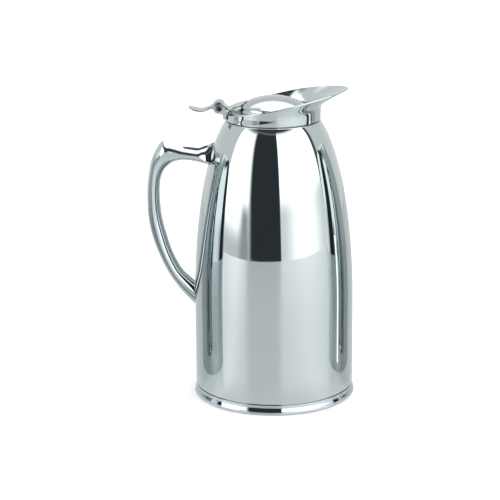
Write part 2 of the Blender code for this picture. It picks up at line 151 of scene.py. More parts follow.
def skin(name, rows, close_rows=False, sharp=35.0):
    """Closed body from rows of points. Each row is a loop, or one point for a pole."""
    bm = bmesh.new()
    rings = [[bm.verts.new(p) for p in row] for row in rows]
    pairs = list(zip(rings, rings[1:]))
    if close_rows:
        pairs.append((rings[-1], rings[0]))
    for first, second in pairs:
        count = max(len(first), len(second))
        if count < 3:
            continue
        for j in range(count):
            k = (j + 1) % count
            corners = [first[j % len(first)], first[k % len(first)],
                       second[k % len(second)], second[j % len(second)]]
            corners = list(dict.fromkeys(corners))
            bm.faces.new(corners)
    if not close_rows:
        for ring in (rings[0], rings[-1]):
            if len(ring) > 2:
                bm.faces.new(ring)
    return finish_mesh(name, bm, sharp)


def rounded(outline, steps=5):
    """Closed outline with arcs at its corners. Each corner is (u, v) or (u, v, radius)."""
    points = []
    count = len(outline)
    for i, corner in enumerate(outline):
        here = Vector(corner[:2])
        radius = corner[2] if len(corner) > 2 else 0.0
        if radius <= 0.0:
            points.append((here.x, here.y))
            continue
        back = (Vector(outline[i - 1][:2]) - here).normalized()
        ahead = (Vector(outline[(i + 1) % count][:2]) - here).normalized()
        half = 0.5 * back.angle(ahead)
        centre = here + (back + ahead).normalized() * (radius / math.sin(half))
        start = here + back * (radius / math.tan(half)) - centre
        end = here + ahead * (radius / math.tan(half)) - centre
        turn = start.angle_signed(end)
        for k in range(steps + 1):
            a = -turn * k / steps
            points.append((centre.x + start.x * math.cos(a) - start.y * math.sin(a),
                           centre.y + start.x * math.sin(a) + start.y * math.cos(a)))
    return points


def turned(name, outline, segments=SEGMENTS, sharp=35.0):
    """Solid turned about the jug's axis from a closed outline of (radius, z)."""
    rows = []
    for radius, z in outline:
        if radius < 1e-7:
            rows.append([(0.0, 0.0, z)])
            continue
        rows.append([(radius * math.cos(2 * math.pi * j / segments),
                      radius * math.sin(2 * math.pi * j / segments), z) for j in range(segments)])
    return skin(name, rows, close_rows=len(rows[0]) > 1, sharp=sharp)


def prism(name, outline, low, high, axis, sharp=35.0):
    """Outline in (x, z) extruded along Y, or in (x, y) extruded along Z."""
    rows = []
    for w in (low, high):
        rows.append([(u, w, v) if axis == "Y" else (u, v, w) for u, v in outline])
    return skin(name, rows, sharp=sharp)


def arc(cx, cz, radius, start, end, steps):
    return [(cx + radius * math.cos(math.radians(start + (end - start) * i / steps)),
             cz + radius * math.sin(math.radians(start + (end - start) * i / steps)))
            for i in range(steps + 1)]


def apply_modifiers(obj):
    graph = bpy.context.evaluated_depsgraph_get()
    mesh = bpy.data.meshes.new_from_object(obj.evaluated_get(graph))
    old = obj.data
    obj.modifiers.clear()
    obj.data = mesh
    bpy.data.meshes.remove(old)


def combine(obj, other, operation):
    modifier = obj.modifiers.new(operation.title(), 'BOOLEAN')
    modifier.operation = operation
    modifier.solver = 'EXACT'
    modifier.object = other
    apply_modifiers(obj)
    bpy.data.objects.remove(other, do_unlink=True)


def bevel(obj, width, segments=3, angle=35.0):
    modifier = obj.modifiers.new("Bevel", 'BEVEL')
    modifier.width = width
    modifier.segments = segments
    modifier.limit_method = 'ANGLE'
    modifier.angle_limit = math.radians(angle)
    apply_modifiers(obj)


def settle_normals(obj, sharp):
    """Smooth shading that leaves broad faces flat and turns only across their bevels."""
    shade(obj.data, sharp)
    modifier = obj.modifiers.new("Weighted", 'WEIGHTED_NORMAL')
    modifier.keep_sharp = True
    apply_modifiers(obj)


def smooth_curve(knots, t):
    """Point on a Catmull-Rom curve through knots, t from 0 to len(knots) - 1."""
    last = len(knots) - 1
    i = min(int(t), last - 1)
    f = t - i
    around = [knots[min(max(i + k, 0), last)] for k in (-1, 0, 1, 2)]
    weights = (0.5 * (-f + 2 * f**2 - f**3),
               0.5 * (2 - 5 * f**2 + 3 * f**3),
               0.5 * (f + 4 * f**2 - 3 * f**3),
               0.5 * (-f**2 + f**3))
    return tuple(sum(w * p[k] for w, p in zip(weights, around)) for k in range(len(knots[0])))


def offset_profile(points, distance):
    """Open profile moved sideways by distance, to the left of its direction of travel."""
    moved = []
    for i, (r, z) in enumerate(points):
        r0, z0 = points[max(i - 1, 0)]
        r1, z1 = points[min(i + 1, len(points) - 1)]
        length = math.hypot(r1 - r0, z1 - z0)
        moved.append((r - distance * (z1 - z0) / length, z + distance * (r1 - r0) / length))
    return moved


# ---------------------------------------------------------------- materials
class Nodes:
    """Short names for building a node tree."""

    def __init__(self, tree):
        self.tree = tree

    def add(self, kind, **settings):
        node = self.tree.nodes.new(kind)
        for key, value in settings.items():
            setattr(node, key, value)
        return node

    def link(self, source, target):
        self.tree.links.new(source, target)

    def put(self, socket, value):
        if isinstance(value, bpy.types.NodeSocket):
            self.link(value, socket)
        else:
            socket.default_value = value

    def math(self, operation, a, b=0.0, c=0.0):
        node = self.add('ShaderNodeMath', operation=operation)
        for socket, value in zip(node.inputs, (a, b, c)):
            self.put(socket, value)
        return node.outputs[0]

    def ramp(self, value, low, high, out_low=0.0, out_high=1.0):
        node = self.add('ShaderNodeMapRange', interpolation_type='SMOOTHSTEP')
        for name, item in (("Value", value), ("From Min", low), ("From Max", high),
                           ("To Min", out_low), ("To Max", out_high)):
            self.put(node.inputs[name], item)
        return node.outputs[0]

    def mix(self, factor, a, b):
        node = self.add('ShaderNodeMix', data_type='RGBA')
        self.put(node.inputs["Factor"], factor)
        self.put(node.inputs["A"], a)
        self.put(node.inputs["B"], b)
        return node.outputs["Result"]

    def noise(self, vector, scale, detail=3.0, roughness=0.5):
        node = self.add('ShaderNodeTexNoise')
        self.link(vector, node.inputs["Vector"])
        node.inputs["Scale"].default_value = scale
        node.inputs["Detail"].default_value = detail
        node.inputs["Roughness"].default_value = roughness
        return node.outputs["Fac"]


def stretched(nodes, scale):
    """Object coordinates stretched by scale, so that noise draws out into lines."""
    place = nodes.add('ShaderNodeTexCoord').outputs["Object"]
    mapping = nodes.add('ShaderNodeMapping', vector_type='POINT')
    mapping.inputs["Scale"].default_value = scale
    nodes.link(place, mapping.inputs["Vector"])
    return mapping.outputs["Vector"]


def steel(name, color, smooth, rough, line_scale=(6.0, 6.0, 900.0), line_depth=0.0000012,
          satin_inside=0.0):
    """Polished steel: fine polishing lines, faint smears and a slow change of tone.

    Its roughness varies from smooth to rough with the lines and smears, and satin_inside is
    added on faces that look towards the jug's axis.
    """
    material = bpy.data.materials.new(name)
    material.use_nodes = True
    nodes = Nodes(material.node_tree)
    shader = material.node_tree.nodes["Principled BSDF"]
    shader.inputs["Metallic"].default_value = 1.0
    place = stretched(nodes, (1.0, 1.0, 1.0))
    tone = nodes.noise(place, 18.0, 2.0)
    dark = tuple(c * 0.965 for c in color)
    nodes.link(nodes.mix(tone, (*dark, 1.0), (*color, 1.0)), shader.inputs["Base Color"])
    lines = nodes.noise(stretched(nodes, line_scale), 1.0, 4.0, 0.6)
    smears = nodes.noise(place, 70.0, 5.0, 0.65)
    patch = nodes.ramp(smears, 0.45, 0.75)
    grain = nodes.ramp(lines, 0.35, 0.75)
    spread = nodes.math('MULTIPLY_ADD', patch, 0.6, nodes.math('MULTIPLY', grain, 0.4))
    roughness = nodes.ramp(spread, 0.0, 1.0, smooth, rough)
    if satin_inside:
        flat = nodes.add('ShaderNodeVectorMath', operation='MULTIPLY')
        nodes.link(place, flat.inputs[0])
        flat.inputs[1].default_value = (1.0, 1.0, 0.0)
        outward = nodes.add('ShaderNodeVectorMath', operation='DOT_PRODUCT')
        nodes.link(flat.outputs["Vector"], outward.inputs[0])
        nodes.link(nodes.add('ShaderNodeNewGeometry').outputs["Normal"], outward.inputs[1])
        inside = nodes.ramp(outward.outputs["Value"], -0.006, 0.0, satin_inside, 0.0)
        roughness = nodes.math('ADD', roughness, inside)
    nodes.link(roughness, shader.inputs["Roughness"])
    relief = nodes.add('ShaderNodeBump')
    relief.inputs["Strength"].default_value = 1.0
    relief.inputs["Distance"].default_value = line_depth
    nodes.link(lines, relief.inputs["Height"])
    nodes.link(relief.outputs["Normal"], shader.inputs["Normal"])
    return material


def paint_dimple_shade(material):
    """Painted shade: the dimple at the middle of the rivet's heads is painted near black."""
    nodes = Nodes(material.node_tree)
    base = material.node_tree.nodes["Principled BSDF"].inputs["Base Color"]
    tone = base.links[0].from_socket
    offset = nodes.add('ShaderNodeVectorMath', operation='SUBTRACT')
    nodes.link(stretched(nodes, (1.0, 0.0, 1.0)), offset.inputs[0])
    offset.inputs[1].default_value = (HINGE.x, 0.0, HINGE.z)
    distance = nodes.add('ShaderNodeVectorMath', operation='LENGTH')
    nodes.link(offset.outputs["Vector"], distance.inputs[0])
    outside_painted_shade = nodes.ramp(distance.outputs["Value"], 0.0009, 0.0013)
    # painted shade: near black within 0.9 mm of the pin's axis, fading out by 1.3 mm
    nodes.link(nodes.mix(outside_painted_shade, (0.01, 0.01, 0.012, 1.0), tone), base)


def matte(name, color, roughness, grain_scale, grain_depth):
    """Dull surface with a fine grain, for silicone and plain metal tube."""
    material = bpy.data.materials.new(name)
    material.use_nodes = True
    nodes = Nodes(material.node_tree)
    shader = material.node_tree.nodes["Principled BSDF"]
    place = stretched(nodes, (1.0, 1.0, 1.0))
    grain = nodes.noise(place, grain_scale, 4.0, 0.6)
    dark = tuple(c * 0.88 for c in color)
    nodes.link(nodes.mix(grain, (*dark, 1.0), (*color, 1.0)), shader.inputs["Base Color"])
    spread = nodes.ramp(grain, 0.2, 0.8, roughness - 0.08, roughness + 0.08)
    nodes.link(spread, shader.inputs["Roughness"])
    relief = nodes.add('ShaderNodeBump')
    relief.inputs["Strength"].default_value = 0.6
    relief.inputs["Distance"].default_value = grain_depth
    nodes.link(grain, relief.inputs["Height"])
    nodes.link(relief.outputs["Normal"], shader.inputs["Normal"])
    return material


# ---------------------------------------------------------------- body
def ellipse_radius(z, core, depth, height):
    rise = min(max((z - TAPER_Z) / height, 0.0), 1.0)
    return core + depth * math.sqrt(1.0 - rise * rise)


def shell_radius(z):
    return ellipse_radius(z, TAPER_CORE_R, TAPER_DEPTH, TAPER_HEIGHT)


def shell_curve(low, high, steps=90):
    """Outer profile of the body, closest together where it curves most."""
    points = [(BODY_R, low), (BODY_R, low + 0.25 * (TAPER_Z - low)),
              (BODY_R, low + 0.6 * (TAPER_Z - low)), (BODY_R, TAPER_Z)]
    for i in range(1, steps + 1):
        z = TAPER_Z + (high - TAPER_Z) * math.sin(0.5 * math.pi * i / steps)
        points.append((shell_radius(z), z))
    return points


def make_body(material):
    """Thin outer shell with a hem on the foot and a rounded edge at the neck."""
    low, high = SHELL_LOW.z, NECK_Z
    roll = 0.0007                   # rounded edge under the neck groove
    outer = shell_curve(low + 0.0004, high - roll)
    inner = offset_profile(outer, SHELL_WALL)[::-1]
    top_r = outer[-1][0]
    edge = arc(top_r - roll * 0.85, high - roll, roll, 15, 90, 5)
    hem = [(BODY_R - SHELL_WALL, low), (BODY_R - 0.0003, low), (BODY_R - 0.0001, low + 0.0001)]
    outline = hem + outer + edge + [(top_r - SHELL_WALL - 0.0006, high)] + inner[1:]
    body = turned("body_shell", outline, sharp=50.0)
    return paint(body, material)


def make_foot(material):
    """Skirt that spreads to the ground, a groove above it, and an upstand inside the shell."""
    upstand_r = BODY_R - SHELL_WALL - 0.0004
    height = FOOT_HIGH.z
    widest = FOOT_HIGH.y
    skirt = [(widest - 0.0002, 0.0005), (widest, 0.0013), (widest - 0.0001, 0.0024),
             (widest - 0.0004, 0.0036), (widest - 0.0008, 0.0048), (widest - 0.00105, 0.0058),
             (widest - 0.0011, 0.0068), (widest - 0.0012, 0.0078)]
    band = [smooth_curve(skirt, i / 4) for i in range(4 * (len(skirt) - 1) + 1)]
    inside_r = COVER_HIGH.y + GAP
    outline = [(inside_r, 0.0), (widest - 0.0007, 0.0)] + band + [(band[-1][0] - 0.0003, FOOT_TOP)]
    outline += [(upstand_r, FOOT_TOP), (upstand_r, height), (upstand_r - FOOT_WALL, height),
                (upstand_r - FOOT_WALL, 0.0050), (inside_r, 0.0030)]
    foot = turned("foot_band", outline, sharp=40.0)
    return paint(foot, material)


def make_base_cover(material):
    radius, thickness = COVER_HIGH.y, COVER_HIGH.z
    outline = [(0.0, 0.0), (radius * 0.5, 0.0), (radius - 0.0003, 0.0), (radius, 0.0003),
               (radius, thickness), (0.0, thickness)]
    cover = turned("base_disc", outline)
    return paint(cover, material)


def flask_radius(z):
    return max(FLASK_NECK_R, ellipse_radius(z, FLASK_CORE_R, FLASK_DEPTH, FLASK_HEIGHT))


def make_flask(material):
    """Inner vessel with a rounded bottom, a straight neck and a small lip."""
    low, high = FLASK_LOW.z, FLASK_HIGH.z
    corner = arc(FLASK_R - FLASK_CORNER_R, low + FLASK_CORNER_R, FLASK_CORNER_R, -90, 0, 10)
    heights = [TAPER_Z + (FLASK_NECK_Z - TAPER_Z) * math.sin(0.5 * math.pi * i / 40)
               for i in range(41)]
    side = [(flask_radius(z), z) for z in heights]
    outer = corner + side
    inner = offset_profile(outer, FLASK_WALL)
    inner[0] = (corner[0][0], low + FLASK_WALL)
    inner[-1] = (FLASK_NECK_R - FLASK_WALL, FLASK_NECK_Z)
    lip_r = FLASK_NECK_R + 0.0012
    lip = [(FLASK_NECK_R, high - FLASK_WALL), (lip_r, high - FLASK_WALL)]
    lip += arc(lip_r - 0.0004, high - 0.0004, 0.0004, 0, 90, 4)
    lip += arc(FLASK_NECK_R - FLASK_WALL + 0.0006, high - 0.0006, 0.0006, 90, 180, 4)
    outline = [(0.0, low)] + outer + lip + inner[::-1] + [(0.0, low + FLASK_WALL)]
    flask = turned("inner_vessel", outline, segments=160)
    return paint(flask, material)


# ---------------------------------------------------------------- spout collar
def rim_point(angle):
    """Radius and height of the rim at an angle from the spout, and its radius without the lip."""
    angle = abs(math.atan2(math.sin(angle), math.cos(angle)))
    reach = (math.hypot(angle, SPOUT_TIP_ROUND) - SPOUT_TIP_ROUND) / SPOUT_ANGLE
    flare = max(0.0, 1.0 - reach) ** SPOUT_POWER
    behind = 0.5 - 0.5 * math.cos(max(0.0, 2.0 * angle - math.pi))
    plain = COLLAR_SIDE_R + (COLLAR_BACK_R - COLLAR_SIDE_R) * behind
    radius = plain + (SPOUT_R - plain) * flare
    x = radius * math.cos(angle)
    return radius, RIM_Z + RIM_SLOPE * x - RIM_SAG * x * x, plain


def lip_curve(s):
    """Share of the flare reached at height share s: upright below, then a sloping lip."""
    def ramp(value):
        return LIP_SOFTNESS * math.log1p(math.exp((value - LIP_BEND) / LIP_SOFTNESS))
    return ramp(s) / ramp(1.0)


def collar_point(angle, s):
    rim_r, rim_z, plain = rim_point(angle)
    turn = 2.0 * math.pi * (s + COLLAR_WAVE_START)
    wave = math.sin(turn) - math.sin(2.0 * math.pi * COLLAR_WAVE_START)
    radius = COLLAR_R + (plain - COLLAR_R) * s + (rim_r - plain) * lip_curve(s) + COLLAR_WAVE * wave
    height = (rim_z - COLLAR_WALL / 2 - COLLAR_Z) * s
    return Vector((radius * math.cos(angle), radius * math.sin(angle), COLLAR_Z + height))


def collar_frame(angle, s):
    """Outward normal and upward tangent of the collar's outer face."""
    step = 1e-3
    along = collar_point(angle + step, s) - collar_point(angle - step, s)
    up = collar_point(angle, min(s + step, 1.0)) - collar_point(angle, max(s - step, 0.0))
    return along.cross(up).normalized(), up.normalized()


def make_collar(material):
    """Thin wall with a rolled rim and a flange that reaches in to the flask's neck."""
    shares = [i / 36 for i in range(37)]
    angles = [2.0 * math.pi * j / SEGMENTS for j in range(SEGMENTS)]
    frames = {(j, s): collar_frame(a, s) for j, a in enumerate(angles) for s in shares}
    rows = [[collar_point(a, s) for a in angles] for s in shares]
    rim = [[] for _ in range(RIM_STEPS - 1)]
    for j, a in enumerate(angles):
        normal, up = frames[(j, 1.0)]
        centre = collar_point(a, 1.0) - normal * COLLAR_WALL / 2
        for k, row in enumerate(rim):
            turn = math.pi * (k + 1) / RIM_STEPS
            row.append(centre + (normal * math.cos(turn) + up * math.sin(turn)) * COLLAR_WALL / 2)
    rows += rim
    for s in shares[:1:-1]:
        rows.append([collar_point(a, s) - COLLAR_WALL * frames[(j, s)][0]
                     for j, a in enumerate(angles)])
    flange_in = FLASK_NECK_R + GAP
    flange_top = COLLAR_Z + COLLAR_WALL
    for radius, z in ((COLLAR_R - COLLAR_WALL - 0.0002, flange_top), (flange_in, flange_top),
                      (flange_in, COLLAR_Z), (COLLAR_R - 0.0005, COLLAR_Z)):
        rows.append([(radius * math.cos(a), radius * math.sin(a), z) for a in angles])
    chamfer = Vector((0.0, 0.0, 0.0003))
    rows[0] = [p + chamfer for p in rows[0]]
    collar = skin("collar", rows, close_rows=True, sharp=50.0)
    return paint(collar, material)


# ---------------------------------------------------------------- lid
def lid_curve(grow=0.0):
    """Outer profile of the lid from its edge to its apex, moved out by grow."""
    rim = 0.0009
    points = [(LID_R, LID_LOW.z)]
    points += arc(LID_R - rim, LID_FLANGE_Z - rim, rim, 0, 90, 6)
    shoulder = [(LID_DOME_R + 0.0034, LID_FLANGE_Z), (LID_DOME_R + 0.0017, LID_FLANGE_Z + 0.0002),
                (LID_DOME_R + 0.0006, LID_FLANGE_Z + 0.0009),
                (LID_DOME_R + 0.0001, LID_DOME_Z - 0.0006), (LID_DOME_R, LID_DOME_Z)]
    points += [smooth_curve(shoulder, i / 4) for i in range(16)]
    rise = LID_HIGH.z - LID_DOME_Z
    for i in range(41):
        r = LID_DOME_R * math.cos(0.5 * math.pi * i / 41)
        points.append((r, LID_DOME_Z + rise * (1.0 - (r / LID_DOME_R) ** 2) ** 0.75))
    points.append((0.0, LID_HIGH.z))
    if grow:
        points = [(max(r, 0.0), z) for r, z in offset_profile(points, -grow)]
        points[-1] = (0.0, LID_HIGH.z + grow)
    return points


def make_lid(material):
    outer = lid_curve()
    inner = [p for p in lid_curve(grow=-LID_WALL) if p[0] < LID_R - LID_WALL - 0.0001]
    outline = outer + inner[::-1] + [(LID_R - LID_WALL, LID_LOW.z)]
    lid = turned("lid_dome", outline, sharp=50.0)
    return paint(lid, material)


def make_liner(material):
    """Plug under the lid, with a flange that holds the gasket."""
    wall = 0.0008
    top, low = LINER_HIGH.z, LINER_LOW.z
    flange_low = top - 0.0010
    plug_r, foot_r, flange_r = 0.0299, 0.0293, LINER_HIGH.y
    outline = [(foot_r, low, 0.0012), (plug_r, flange_low, 0.0002), (flange_r, flange_low, 0.0003),
               (flange_r, top, 0.0003), (plug_r - wall, top, 0.0002),
               (foot_r - wall, low + wall, 0.0005)]
    profile = [(0.0, low)] + rounded(outline) + [(0.0, low + wall)]
    liner = turned("lid_plug", profile, segments=160)
    return paint(liner, material)


def make_gasket(material):
    inner_r, outer_r = 0.0302, GASKET_HIGH.y
    low, high = GASKET_LOW.z, GASKET_HIGH.z
    outline = rounded([(inner_r, low, 0.0004), (outer_r, low, 0.0006), (outer_r, high, 0.0002),
                       (inner_r, high, 0.0002)])
    gasket = turned("gasket", outline, segments=160)
    return paint(gasket, material)


# ---------------------------------------------------------------- hinge and lever
def drill_for_pin(obj):
    hole = prism("hole", arc(HINGE.x, HINGE.z, PIN_HOLE_R, 0, 350, 35), -0.02, 0.02, "Y")
    combine(obj, hole, 'DIFFERENCE')


def make_ears(material):
    """Two ears on a saddle, cut to the collar's back and drawing in below their eyes."""
    foot_x = HINGE.x + 0.0085
    base_z = COLLAR_Z + 0.0008
    eye = arc(HINGE.x, HINGE.z, EAR_EYE_R, 60, 250, 32)
    outline = eye + [(foot_x, base_z), (foot_x, HINGE.z - 0.0034)]
    saddle_x = HINGE.x + 0.0030
    saddle_top = HINGE.z - KNUCKLE_R - 0.0006
    saddle = [(saddle_x, base_z), (foot_x, base_z), (foot_x, saddle_top), (saddle_x, saddle_top)]
    ears = prism("hinge_ears", saddle, -EAR_IN - 0.0005, EAR_IN + 0.0005, "Y")
    for side in (-1, 1):
        low, high = sorted((side * EAR_IN, side * EAR_OUT))
        combine(ears, prism("ear", outline, low, high, "Y"), 'UNION')
    low, high = COLLAR_Z - 0.002, rim_point(math.pi)[1] + 0.004
    wall = [(0.0, low), (COLLAR_R + GAP, low), (COLLAR_R + GAP, COLLAR_Z),
            (COLLAR_BACK_R + GAP + 0.0002, high), (0.0, high)]
    combine(ears, turned("collar_cutter", wall, segments=160), 'DIFFERENCE')
    bevel(ears, 0.0003)
    drill_for_pin(ears)
    for vertex in ears.data.vertices:
        vertex.co.y *= 1.0 + EAR_DRAFT * (vertex.co.z - HINGE.z - EAR_EYE_R)
    settle_normals(ears, 35.0)
    return paint(ears, material)


def make_pin(material):
    """Shaft along Y with a domed, dimpled rivet head at each end."""
    head_r = 0.5 * (PIN_HIGH.x - PIN_LOW.x)
    head_in = EAR_OUT + GAP
    head_out = PIN_HIGH.y
    half = [(PIN_R, head_in), (head_r, head_in), (head_r, head_in + 0.0003)]
    half += arc(head_r - 0.0007, head_out - 0.0007, 0.0007, 20, 90, 5)
    half += [(0.00125, head_out), (0.0010, head_out - 0.0001), (0.0005, head_out - 0.0005),
             (0.0, head_out - 0.0006)]
    profile = [(r, -z) for r, z in half[::-1]] + half
    pin = turned("pin", profile, segments=64)
    pin.data.transform(Matrix.Translation(HINGE) @ Matrix.Rotation(math.radians(90.0), 4, 'X'))
    return paint(pin, material)


# The thumb plate from its tip to the knuckle, and the tongue from the knuckle to its tip on the
# lid: (x, top z, under z, half width).
LEVER_PLATE = [
    (-0.0636, 0.2268, 0.2254, 0.0014),
    (-0.0631, 0.2265, 0.2250, 0.0038),
    (-0.0614, 0.2259, 0.2243, 0.0056),
    (-0.0590, 0.2251, 0.2235, 0.0064),
    (-0.0558, 0.2244, 0.2228, 0.0065),
    (-0.0526, 0.2246, 0.2230, 0.0062),
    (-0.0494, 0.2257, 0.2240, 0.0056),
    (-0.0466, 0.2270, 0.2252, 0.0057),
]
LEVER_TONGUE = [
    (-0.0366, 0.2284, 0.2241, KNUCKLE_HALF),
    (-0.0353, 0.2267, 0.2240, 0.0060),
    (-0.0334, 0.2257, 0.2242, 0.0066),
    (-0.0303, 0.2266, 0.2252, 0.0078),
    (-0.0269, 0.2279, 0.2264, 0.0078),
    (-0.0239, 0.2291, 0.2275, 0.0062),
    (-0.0215, 0.2300, 0.2283, 0.0038),
    (-0.0196, 0.2309, 0.2290, 0.0010),
]
LEVER_CORNER = 0.00040
LEVER_CROWN = 0.00012
KNUCKLE_UNDER_Z = 0.2254          # underside where the plate runs into the knuckle
KNUCKLE_BLEND = 0.0012
STATION_STEPS = 8                 # places between two stations


def lever_stations():
    """Places along the plate, over the knuckle and along the tongue."""
    def spread(knots):
        return [smooth_curve(knots, i / STATION_STEPS)
                for i in range(STATION_STEPS * (len(knots) - 1) + 1)]

    stations = spread(LEVER_PLATE)
    for degrees in range(152, 40, -4):
        a = math.radians(degrees)
        x = HINGE.x + KNUCKLE_R * math.cos(a)
        top = HINGE.z + KNUCKLE_R * math.sin(a)
        cosine = max(-1.0, min(1.0, (x - HINGE.x) / KNUCKLE_R))
        under = HINGE.z - KNUCKLE_R * math.sin(math.acos(cosine))
        blend = max(0.0, min(1.0, (x - (HINGE.x - KNUCKLE_R)) / KNUCKLE_BLEND))
        under = KNUCKLE_UNDER_Z + (under - KNUCKLE_UNDER_Z) * blend
        stations.append((x, top, under, KNUCKLE_HALF))
    return stations + spread(LEVER_TONGUE)


def lever_section(x, top, under, half):
    """Rounded oblong across the lever, slightly crowned on top."""
    height = top - under
    corner = min(LEVER_CORNER, 0.45 * height, 0.3 * half)
    crown = min(LEVER_CROWN, 0.1 * half, 0.4 * height)
    points = []
    for i in range(9):
        y = -half + corner + (2.0 * (half - corner)) * i / 8
        points.append((x, y, top - crown * (y / half) ** 2))
    side_top = top - crown - corner
    side_low = under + corner
    low_half = max(0.4 * half, half - FLANK_LEAN * height)
    right = [(half - corner + corner * math.sin(a), side_top + corner * math.cos(a))
             for a in (math.radians(30), math.radians(60), math.radians(90))]
    right += [(low_half - corner + corner * math.cos(a), side_low - corner * math.sin(a))
              for a in (0.0, math.radians(30), math.radians(60))]
    points += [(x, y, z) for y, z in right]
    for i in range(9):
        points.append((x, low_half - corner - (2.0 * (low_half - corner)) * i / 8, under))
    points += [(x, -y, z) for y, z in right[::-1]]
    return points


def make_lever(material):
    """Thumb plate, knuckle and tongue in one piece, cut to the lid."""
    rows = [lever_section(*station) for station in lever_stations()]
    lever = skin("thumb_lever", rows, sharp=40.0)
    lid = lid_curve(grow=GAP)
    cutter = [(0.0, lid[0][1] - 0.002), (lid[0][0], lid[0][1] - 0.002)] + lid
    combine(lever, turned("lid_cutter", cutter, segments=160), 'DIFFERENCE')
    drill_for_pin(lever)
    settle_normals(lever, 40.0)
    return paint(lever, material)


# ---------------------------------------------------------------- handle
# Ridge and inner line in the symmetry plane, from inside the upper joint, round the thumb horn
# and down to inside the lower joint: (ridge x, z, inner x, z, crease share, width share).
HANDLE_STATIONS = [
    (-0.0366, 0.2028, -0.0436, 0.1778, 0.84, 1.08),
    (-0.0445, 0.1991, -0.0480, 0.1810, 0.82, 1.02),
    (-0.0510, 0.1963, -0.0520, 0.1822, 0.76, 0.98),
    (-0.0564, 0.1957, -0.0569, 0.1834, 0.56, 0.96),
    (-0.0638, 0.1965, -0.0634, 0.1847, 0.56, 0.94),
    (-0.0707, 0.1977, -0.0693, 0.1851, 0.54, 0.94),
    (-0.0776, 0.1994, -0.0749, 0.1840, 0.50, 0.95),
    (-0.0843, 0.1999, -0.0788, 0.1820, 0.42, 0.96),
    (-0.0897, 0.1930, -0.0826, 0.1785, 0.38, 0.97),
    (-0.0936, 0.1840, -0.0851, 0.1739, 0.36, 0.97),
    (-0.0957, 0.1732, -0.0865, 0.1683, 0.38, 0.96),
    (-0.0969, 0.1596, -0.0871, 0.1582, 0.40, 0.95),
    (-0.0967, 0.1429, -0.0861, 0.1429, 0.40, 0.94),
    (-0.0944, 0.1276, -0.0828, 0.1279, 0.40, 0.93),
    (-0.0895, 0.1123, -0.0779, 0.1123, 0.40, 0.92),
    (-0.0822, 0.0962, -0.0714, 0.0994, 0.40, 0.92),
    (-0.0732, 0.0828, -0.0653, 0.0927, 0.40, 0.92),
    (-0.0607, 0.0689, -0.0599, 0.0882, 0.42, 0.94),
    (-0.0538, 0.0627, -0.0548, 0.0854, 0.42, 0.96),
]
HANDLE_STEPS = 12                 # sections between two stations
CHEEK_STEPS = 8
CHEEK_SWEEP = math.radians(52.0)
BELLY_STEPS = 14
HANDLE_SHARP = 22.0               # edges above this angle, in degrees, stay crisp


def handle_section(station):
    """Closed section: cheeks up to the ridge, a crease at the widest place, a round inner side."""
    ridge = Vector((station[0], 0.0, station[1]))
    inner = Vector((station[2], 0.0, station[3]))
    crease = ridge.lerp(inner, station[4])
    half = HANDLE_HALF_WIDTH * station[5]
    side = Vector((0.0, 1.0, 0.0))
    points = []
    for i in range(CHEEK_STEPS):
        a = CHEEK_SWEEP * (i + 0.35) / CHEEK_STEPS
        across = math.sin(a) / math.sin(CHEEK_SWEEP)
        down = (1.0 - math.cos(a)) / (1.0 - math.cos(CHEEK_SWEEP))
        points.append(ridge.lerp(crease, 0.55 * down + 0.45 * across) + side * half * across)
    for i in range(BELLY_STEPS):
        a = 0.5 * math.pi * i / BELLY_STEPS
        points.append(crease.lerp(inner, math.sin(a)) + side * half * math.cos(a))
    points.append(inner)
    return points + [Vector((p.x, -p.y, p.z)) for p in points[-2::-1]]


def make_handle(material):
    count = HANDLE_STEPS * (len(HANDLE_STATIONS) - 1)
    rows = [handle_section(smooth_curve(HANDLE_STATIONS, i / HANDLE_STEPS))
            for i in range(count + 1)]
    handle = skin("handle_casting", rows, sharp=HANDLE_SHARP)
    body = offset_profile(shell_curve(SHELL_LOW.z, NECK_Z, 60), -GAP)
    cutter = turned("body_cutter", [(0.0, SHELL_LOW.z)] + body + [(0.0, NECK_Z)], segments=160)
    combine(handle, cutter, 'DIFFERENCE')
    shade(handle.data, HANDLE_SHARP)
    return paint(handle, material)


# ---------------------------------------------------------------- studio
FLOOR_R = 12.0
BACKDROP_HEIGHT = 9.0

TABLE_HALF = (1.05, 1.16)         # the set's table, an oval seen only in reflections
TABLE_X, TABLE_Z = 0.05, -0.0004
# Wedges of light on the table: (azimuth, half width that is even, half width in all, radiance).
TABLE_SHEEN = [
    (0, 76, 88, 0.20),
    (-56, 0, 17, 0.16),
    (48, 0, 32, 0.13),
]

REFLECTOR_X, REFLECTOR_Y = 0.172, 0.010   # round side reflectors either side of the jug
REFLECTOR_STRETCH = {-1: 1.0, 1: 1.06}    # their height against the jug's, left and right

STRIP_AZIMUTH = -62.6             # where the slim light stands round the right reflector, degrees
STRIP_HALF = (0.0019, 0.0004)     # half its width and half its thickness
STRIP_Z = (0.010, 0.125)
STRIP_GAP = 0.001
STRIP_RADIANCE = 1.5

CAMERA_DISTANCE = 1.3
CAMERA_HEIGHT = 0.4696
CAMERA_PITCH = 0.2675             # radians below the horizon
CAMERA_ROLL = -0.0084
CAMERA_YAW = 0.0141
CAMERA_LENS = 125.38

